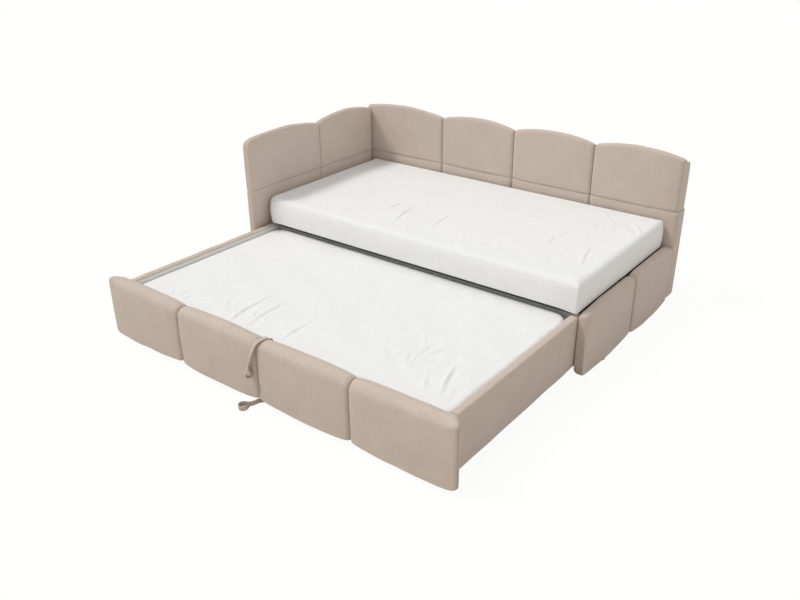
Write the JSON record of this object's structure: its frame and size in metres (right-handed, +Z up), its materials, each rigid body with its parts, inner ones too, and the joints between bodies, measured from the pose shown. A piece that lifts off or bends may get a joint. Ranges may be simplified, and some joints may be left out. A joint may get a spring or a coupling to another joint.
{
  "type": "upholstered daybed with trundle",
  "caption": "Upholstered daybed with tall channelled back and headboard, a low end panel and a castored trundle bed that slides out in front.",
  "frame": {"origin": "floor level, under the middle of the whole bed with its trundle drawn out", "axes": "+X from the headboard to the low end panel, +Y from the trundle's front to the back panel, +Z up"},
  "size_m": [2.118, 2.2744, 0.849],
  "materials": {
    "beige_fabric": "soft woven upholstery",
    "mattress_linen": "smooth white linen",
    "webbing": "woven webbing",
    "board": "raw particle board",
    "white_lining": "white laminate",
    "grey_rail": "grey laminate",
    "slat_timber": "planed birch",
    "black_steel": "black powder coat",
    "zinc": "zinc plate",
    "black_plastic": "moulded, matt",
    "wheel_rubber": "grey-black tread"
  },
  "bodies": {
    "bed": {"angle_bolts": "zinc", "back_brackets": "black_steel", "back_core": "board", "back_cushion_1": "beige_fabric", "back_cushion_2": "beige_fabric", "back_cushion_3": "beige_fabric", "back_cushion_4": "beige_fabric", "back_pad_1": "beige_fabric", "back_pad_2": "beige_fabric", "back_pad_3": "beige_fabric", "back_pad_4": "beige_fabric", "end_angle": "black_steel", "end_core": "board", "end_pad_front": "beige_fabric", "end_pad_rear": "beige_fabric", "frame_bolts": "zinc", "frame_front_rail": "black_steel", "frame_middle_rail": "black_steel", "frame_rear_rail": "black_steel", "glide_feet": "black_plastic", "headboard_angle": "black_steel", "headboard_core": "board", "headboard_cushion_front": "beige_fabric", "headboard_cushion_rear": "beige_fabric", "headboard_pad_front": "beige_fabric", "headboard_pad_rear": "beige_fabric", "main_mattress": "mattress_linen", "slat_screws": "zinc", "slats": "slat_timber"},
    "trundle": {"castor_axles": "zinc", "castor_brackets": "zinc", "lift_strap": "webbing", "pull_strap": "webbing", "trundle_bearers": "slat_timber", "trundle_cushion_1": "beige_fabric", "trundle_cushion_2": "beige_fabric", "trundle_cushion_3": "beige_fabric", "trundle_cushion_4": "beige_fabric", "trundle_front_board": "board", "trundle_lining_left": "white_lining", "trundle_lining_right": "white_lining", "trundle_mattress": "mattress_linen", "trundle_rear_rail": "grey_rail", "trundle_screws": "zinc", "trundle_side_core_left": "board", "trundle_side_core_right": "board", "trundle_side_cover_left": "beige_fabric", "trundle_side_cover_right": "beige_fabric", "trundle_slats": "slat_timber"},
    "castor_1": {"castor_wheel_1": "wheel_rubber"},
    "castor_2": {"castor_wheel_2": "wheel_rubber"},
    "castor_3": {"castor_wheel_3": "wheel_rubber"},
    "castor_4": {"castor_wheel_4": "wheel_rubber"},
    "castor_5": {"castor_wheel_5": "wheel_rubber"},
    "castor_6": {"castor_wheel_6": "wheel_rubber"}
  },
  "joints": [
    {"name": "trundle_slide", "type": "slide", "parent": "bed", "child": "trundle", "axis": [0, 1, 0], "range_m": [0, 0.872]},
    {"name": "castor_1_roll", "type": "hinge", "parent": "trundle", "child": "castor_1", "pos_m": [-0.80074, -0.82415, 0.025], "axis": [1, 0, 0], "continuous": true},
    {"name": "castor_2_roll", "type": "hinge", "parent": "trundle", "child": "castor_2", "pos_m": [0.00426, -0.82415, 0.025], "axis": [1, 0, 0], "continuous": true},
    {"name": "castor_3_roll", "type": "hinge", "parent": "trundle", "child": "castor_3", "pos_m": [0.80926, -0.82415, 0.025], "axis": [1, 0, 0], "continuous": true},
    {"name": "castor_4_roll", "type": "hinge", "parent": "trundle", "child": "castor_4", "pos_m": [-0.80074, -0.05815, 0.025], "axis": [1, 0, 0], "continuous": true},
    {"name": "castor_5_roll", "type": "hinge", "parent": "trundle", "child": "castor_5", "pos_m": [0.00426, -0.05815, 0.025], "axis": [1, 0, 0], "continuous": true},
    {"name": "castor_6_roll", "type": "hinge", "parent": "trundle", "child": "castor_6", "pos_m": [0.80926, -0.05815, 0.025], "axis": [1, 0, 0], "continuous": true}
  ],
  "couplings": [
    {"joint": "castor_1_roll", "follows": "trundle_slide", "rad_per_m": -40},
    {"joint": "castor_2_roll", "follows": "trundle_slide", "rad_per_m": -40},
    {"joint": "castor_3_roll", "follows": "trundle_slide", "rad_per_m": -40},
    {"joint": "castor_4_roll", "follows": "trundle_slide", "rad_per_m": -40},
    {"joint": "castor_5_roll", "follows": "trundle_slide", "rad_per_m": -40},
    {"joint": "castor_6_roll", "follows": "trundle_slide", "rad_per_m": -40}
  ]
}
